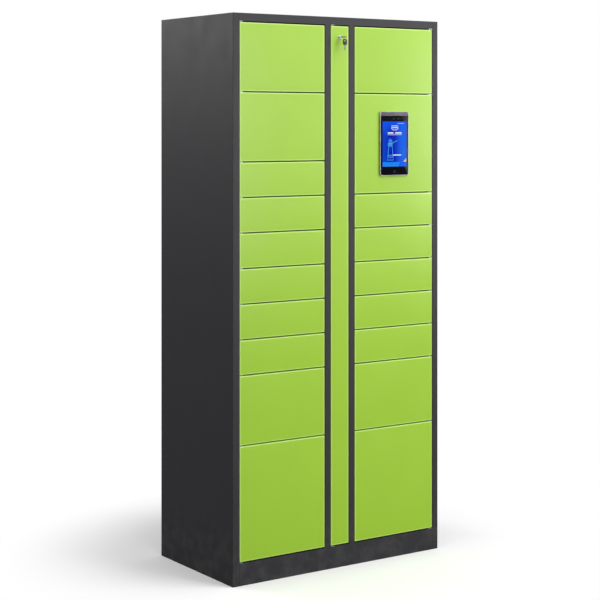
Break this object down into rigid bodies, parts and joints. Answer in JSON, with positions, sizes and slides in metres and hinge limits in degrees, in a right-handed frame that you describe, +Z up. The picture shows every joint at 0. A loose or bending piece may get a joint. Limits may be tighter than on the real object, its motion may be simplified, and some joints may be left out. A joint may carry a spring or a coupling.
{
  "type": "parcel locker",
  "caption": "Floor-standing steel parcel locker with two columns of hinged doors in several heights, a central service channel with a keyed door, electric latches and a touch terminal.",
  "frame": {"origin": "middle of the base on the floor, under the middle of the cabinet", "axes": "+X right as seen from the front, -Y the way the doors face, +Z up"},
  "size_m": [0.907, 0.5388, 1.98],
  "materials": {
    "case_paint": "satin powder coat",
    "door_paint": "semi-gloss powder coat",
    "inside_zinc": "satin powder coat",
    "zinc_steel": "bright zinc plate",
    "latch_plastic": "fine texture",
    "controller_plastic": "fine texture",
    "grommet_rubber": "moulded",
    "lock_chrome": "polished chrome plate",
    "key_steel": "nickel plate",
    "terminal_aluminium": "satin anodised",
    "terminal_glass": "polished"
  },
  "bodies": {
    "cabinet": {"left_side_panel": "case_paint", "right_side_panel": "case_paint", "left_post": "case_paint", "right_post": "case_paint", "header_rail": "case_paint", "plinth_rail": "case_paint", "floor_panel": "case_paint", "top_panel": "case_paint", "back_panel": "case_paint", "shelves": "case_paint", "floor_anchors": "inside_zinc", "hinge_pivots": "zinc_steel", "latch_cases": "latch_plastic", "controller": "controller_plastic", "cable_grommet": "grommet_rubber"},
    "left_door_01": {"left_door_01": "door_paint"},
    "left_latch_hook_01": {"left_latch_hook_01": "zinc_steel"},
    "left_door_02": {"left_door_02": "door_paint"},
    "left_latch_hook_02": {"left_latch_hook_02": "zinc_steel"},
    "left_door_03": {"left_door_03": "door_paint"},
    "left_latch_hook_03": {"left_latch_hook_03": "zinc_steel"},
    "left_door_04": {"left_door_04": "door_paint"},
    "left_latch_hook_04": {"left_latch_hook_04": "zinc_steel"},
    "left_door_05": {"left_door_05": "door_paint"},
    "left_latch_hook_05": {"left_latch_hook_05": "zinc_steel"},
    "left_door_06": {"left_door_06": "door_paint"},
    "left_latch_hook_06": {"left_latch_hook_06": "zinc_steel"},
    "left_door_07": {"left_door_07": "door_paint"},
    "left_latch_hook_07": {"left_latch_hook_07": "zinc_steel"},
    "left_door_08": {"left_door_08": "door_paint"},
    "left_latch_hook_08": {"left_latch_hook_08": "zinc_steel"},
    "left_door_09": {"left_door_09": "door_paint"},
    "left_latch_hook_09": {"left_latch_hook_09": "zinc_steel"},
    "left_door_10": {"left_door_10": "door_paint"},
    "left_latch_hook_10": {"left_latch_hook_10": "zinc_steel"},
    "right_door_01": {"right_door_01": "door_paint"},
    "right_latch_hook_01": {"right_latch_hook_01": "zinc_steel"},
    "right_door_02": {"right_door_02": "door_paint"},
    "right_latch_hook_02": {"right_latch_hook_02": "zinc_steel"},
    "right_door_03": {"right_door_03": "door_paint"},
    "right_latch_hook_03": {"right_latch_hook_03": "zinc_steel"},
    "right_door_04": {"right_door_04": "door_paint"},
    "right_latch_hook_04": {"right_latch_hook_04": "zinc_steel"},
    "right_door_05": {"right_door_05": "door_paint"},
    "right_latch_hook_05": {"right_latch_hook_05": "zinc_steel"},
    "right_door_06": {"right_door_06": "door_paint"},
    "right_latch_hook_06": {"right_latch_hook_06": "zinc_steel"},
    "right_door_07": {"right_door_07": "door_paint"},
    "right_latch_hook_07": {"right_latch_hook_07": "zinc_steel"},
    "terminal_door": {"terminal_door": "door_paint", "terminal_shell": "terminal_aluminium", "terminal_glass": "terminal_glass"},
    "right_latch_hook_08": {"right_latch_hook_08": "zinc_steel"},
    "right_door_09": {"right_door_09": "door_paint"},
    "right_latch_hook_09": {"right_latch_hook_09": "zinc_steel"},
    "service_door": {"service_door": "door_paint", "cam_lock_barrel": "lock_chrome"},
    "cam_lock": {"cam_lock_core": "lock_chrome", "key": "key_steel"},
    "key_ring": {"key_ring": "key_steel"}
  },
  "joints": [
    {"name": "left_door_01_hinge", "type": "hinge", "parent": "cabinet", "child": "left_door_01", "pos_m": [-0.417, -0.245, 0.2815], "axis": [0, 0, -1], "range_deg": [0, 110]},
    {"name": "left_latch_hook_01_turn", "type": "hinge", "parent": "cabinet", "child": "left_latch_hook_01", "pos_m": [-0.056, -0.208, 0.2815], "axis": [0, 0, 1], "range_deg": [0, 90], "stiffness_Nm_per_rad": 0.01},
    {"name": "left_door_02_hinge", "type": "hinge", "parent": "cabinet", "child": "left_door_02", "pos_m": [-0.417, -0.245, 0.6045], "axis": [0, 0, -1], "range_deg": [0, 110]},
    {"name": "left_latch_hook_02_turn", "type": "hinge", "parent": "cabinet", "child": "left_latch_hook_02", "pos_m": [-0.056, -0.208, 0.6045], "axis": [0, 0, 1], "range_deg": [0, 90], "stiffness_Nm_per_rad": 0.01},
    {"name": "left_door_03_hinge", "type": "hinge", "parent": "cabinet", "child": "left_door_03", "pos_m": [-0.417, -0.245, 0.7875], "axis": [0, 0, -1], "range_deg": [0, 110]},
    {"name": "left_latch_hook_03_turn", "type": "hinge", "parent": "cabinet", "child": "left_latch_hook_03", "pos_m": [-0.056, -0.208, 0.7875], "axis": [0, 0, 1], "range_deg": [0, 90], "stiffness_Nm_per_rad": 0.01},
    {"name": "left_door_04_hinge", "type": "hinge", "parent": "cabinet", "child": "left_door_04", "pos_m": [-0.417, -0.245, 0.9105], "axis": [0, 0, -1], "range_deg": [0, 110]},
    {"name": "left_latch_hook_04_turn", "type": "hinge", "parent": "cabinet", "child": "left_latch_hook_04", "pos_m": [-0.056, -0.208, 0.9105], "axis": [0, 0, 1], "range_deg": [0, 90], "stiffness_Nm_per_rad": 0.01},
    {"name": "left_door_05_hinge", "type": "hinge", "parent": "cabinet", "child": "left_door_05", "pos_m": [-0.417, -0.245, 1.0335], "axis": [0, 0, -1], "range_deg": [0, 110]},
    {"name": "left_latch_hook_05_turn", "type": "hinge", "parent": "cabinet", "child": "left_latch_hook_05", "pos_m": [-0.056, -0.208, 1.0335], "axis": [0, 0, 1], "range_deg": [0, 90], "stiffness_Nm_per_rad": 0.01},
    {"name": "left_door_06_hinge", "type": "hinge", "parent": "cabinet", "child": "left_door_06", "pos_m": [-0.417, -0.245, 1.1565], "axis": [0, 0, -1], "range_deg": [0, 110]},
    {"name": "left_latch_hook_06_turn", "type": "hinge", "parent": "cabinet", "child": "left_latch_hook_06", "pos_m": [-0.056, -0.208, 1.1565], "axis": [0, 0, 1], "range_deg": [0, 90], "stiffness_Nm_per_rad": 0.01},
    {"name": "left_door_07_hinge", "type": "hinge", "parent": "cabinet", "child": "left_door_07", "pos_m": [-0.417, -0.245, 1.2795], "axis": [0, 0, -1], "range_deg": [0, 110]},
    {"name": "left_latch_hook_07_turn", "type": "hinge", "parent": "cabinet", "child": "left_latch_hook_07", "pos_m": [-0.056, -0.208, 1.2795], "axis": [0, 0, 1], "range_deg": [0, 90], "stiffness_Nm_per_rad": 0.01},
    {"name": "left_door_08_hinge", "type": "hinge", "parent": "cabinet", "child": "left_door_08", "pos_m": [-0.417, -0.245, 1.4025], "axis": [0, 0, -1], "range_deg": [0, 110]},
    {"name": "left_latch_hook_08_turn", "type": "hinge", "parent": "cabinet", "child": "left_latch_hook_08", "pos_m": [-0.056, -0.208, 1.4025], "axis": [0, 0, 1], "range_deg": [0, 90], "stiffness_Nm_per_rad": 0.01},
    {"name": "left_door_09_hinge", "type": "hinge", "parent": "cabinet", "child": "left_door_09", "pos_m": [-0.417, -0.245, 1.5855], "axis": [0, 0, -1], "range_deg": [0, 110]},
    {"name": "left_latch_hook_09_turn", "type": "hinge", "parent": "cabinet", "child": "left_latch_hook_09", "pos_m": [-0.056, -0.208, 1.5855], "axis": [0, 0, 1], "range_deg": [0, 90], "stiffness_Nm_per_rad": 0.01},
    {"name": "left_door_10_hinge", "type": "hinge", "parent": "cabinet", "child": "left_door_10", "pos_m": [-0.417, -0.245, 1.8285], "axis": [0, 0, -1], "range_deg": [0, 110]},
    {"name": "left_latch_hook_10_turn", "type": "hinge", "parent": "cabinet", "child": "left_latch_hook_10", "pos_m": [-0.056, -0.208, 1.8285], "axis": [0, 0, 1], "range_deg": [0, 90], "stiffness_Nm_per_rad": 0.01},
    {"name": "right_door_01_hinge", "type": "hinge", "parent": "cabinet", "child": "right_door_01", "pos_m": [0.417, -0.245, 0.2815], "axis": [0, 0, 1], "range_deg": [0, 110]},
    {"name": "right_latch_hook_01_turn", "type": "hinge", "parent": "cabinet", "child": "right_latch_hook_01", "pos_m": [0.056, -0.208, 0.2815], "axis": [0, 0, -1], "range_deg": [0, 90], "stiffness_Nm_per_rad": 0.01},
    {"name": "right_door_02_hinge", "type": "hinge", "parent": "cabinet", "child": "right_door_02", "pos_m": [0.417, -0.245, 0.6045], "axis": [0, 0, 1], "range_deg": [0, 110]},
    {"name": "right_latch_hook_02_turn", "type": "hinge", "parent": "cabinet", "child": "right_latch_hook_02", "pos_m": [0.056, -0.208, 0.6045], "axis": [0, 0, -1], "range_deg": [0, 90], "stiffness_Nm_per_rad": 0.01},
    {"name": "right_door_03_hinge", "type": "hinge", "parent": "cabinet", "child": "right_door_03", "pos_m": [0.417, -0.245, 0.7875], "axis": [0, 0, 1], "range_deg": [0, 110]},
    {"name": "right_latch_hook_03_turn", "type": "hinge", "parent": "cabinet", "child": "right_latch_hook_03", "pos_m": [0.056, -0.208, 0.7875], "axis": [0, 0, -1], "range_deg": [0, 90], "stiffness_Nm_per_rad": 0.01},
    {"name": "right_door_04_hinge", "type": "hinge", "parent": "cabinet", "child": "right_door_04", "pos_m": [0.417, -0.245, 0.9105], "axis": [0, 0, 1], "range_deg": [0, 110]},
    {"name": "right_latch_hook_04_turn", "type": "hinge", "parent": "cabinet", "child": "right_latch_hook_04", "pos_m": [0.056, -0.208, 0.9105], "axis": [0, 0, -1], "range_deg": [0, 90], "stiffness_Nm_per_rad": 0.01},
    {"name": "right_door_05_hinge", "type": "hinge", "parent": "cabinet", "child": "right_door_05", "pos_m": [0.417, -0.245, 1.0335], "axis": [0, 0, 1], "range_deg": [0, 110]},
    {"name": "right_latch_hook_05_turn", "type": "hinge", "parent": "cabinet", "child": "right_latch_hook_05", "pos_m": [0.056, -0.208, 1.0335], "axis": [0, 0, -1], "range_deg": [0, 90], "stiffness_Nm_per_rad": 0.01},
    {"name": "right_door_06_hinge", "type": "hinge", "parent": "cabinet", "child": "right_door_06", "pos_m": [0.417, -0.245, 1.1565], "axis": [0, 0, 1], "range_deg": [0, 110]},
    {"name": "right_latch_hook_06_turn", "type": "hinge", "parent": "cabinet", "child": "right_latch_hook_06", "pos_m": [0.056, -0.208, 1.1565], "axis": [0, 0, -1], "range_deg": [0, 90], "stiffness_Nm_per_rad": 0.01},
    {"name": "right_door_07_hinge", "type": "hinge", "parent": "cabinet", "child": "right_door_07", "pos_m": [0.417, -0.245, 1.2795], "axis": [0, 0, 1], "range_deg": [0, 110]},
    {"name": "right_latch_hook_07_turn", "type": "hinge", "parent": "cabinet", "child": "right_latch_hook_07", "pos_m": [0.056, -0.208, 1.2795], "axis": [0, 0, -1], "range_deg": [0, 90], "stiffness_Nm_per_rad": 0.01},
    {"name": "terminal_door_hinge", "type": "hinge", "parent": "cabinet", "child": "terminal_door", "pos_m": [0.417, -0.245, 1.524], "axis": [0, 0, 1], "range_deg": [0, 110]},
    {"name": "right_latch_hook_08_turn", "type": "hinge", "parent": "cabinet", "child": "right_latch_hook_08", "pos_m": [0.056, -0.208, 1.524], "axis": [0, 0, -1], "range_deg": [0, 90], "stiffness_Nm_per_rad": 0.01},
    {"name": "right_door_09_hinge", "type": "hinge", "parent": "cabinet", "child": "right_door_09", "pos_m": [0.417, -0.245, 1.8285], "axis": [0, 0, 1], "range_deg": [0, 110]},
    {"name": "right_latch_hook_09_turn", "type": "hinge", "parent": "cabinet", "child": "right_latch_hook_09", "pos_m": [0.056, -0.208, 1.8285], "axis": [0, 0, -1], "range_deg": [0, 90], "stiffness_Nm_per_rad": 0.01},
    {"name": "service_door_hinge", "type": "hinge", "parent": "cabinet", "child": "service_door", "pos_m": [-0.03, -0.245, 1.015], "axis": [0, 0, -1], "range_deg": [0, 110]},
    {"name": "cam_lock_turn", "type": "hinge", "parent": "service_door", "child": "cam_lock", "pos_m": [0, -0.25, 1.908], "axis": [0, -1, 0], "range_deg": [0, 90]},
    {"name": "key_ring_swing", "type": "hinge", "parent": "cam_lock", "child": "key_ring", "pos_m": [0, -0.28113, 1.90335], "axis": [1, 0, 0], "range_deg": [-20, 20]}
  ]
}
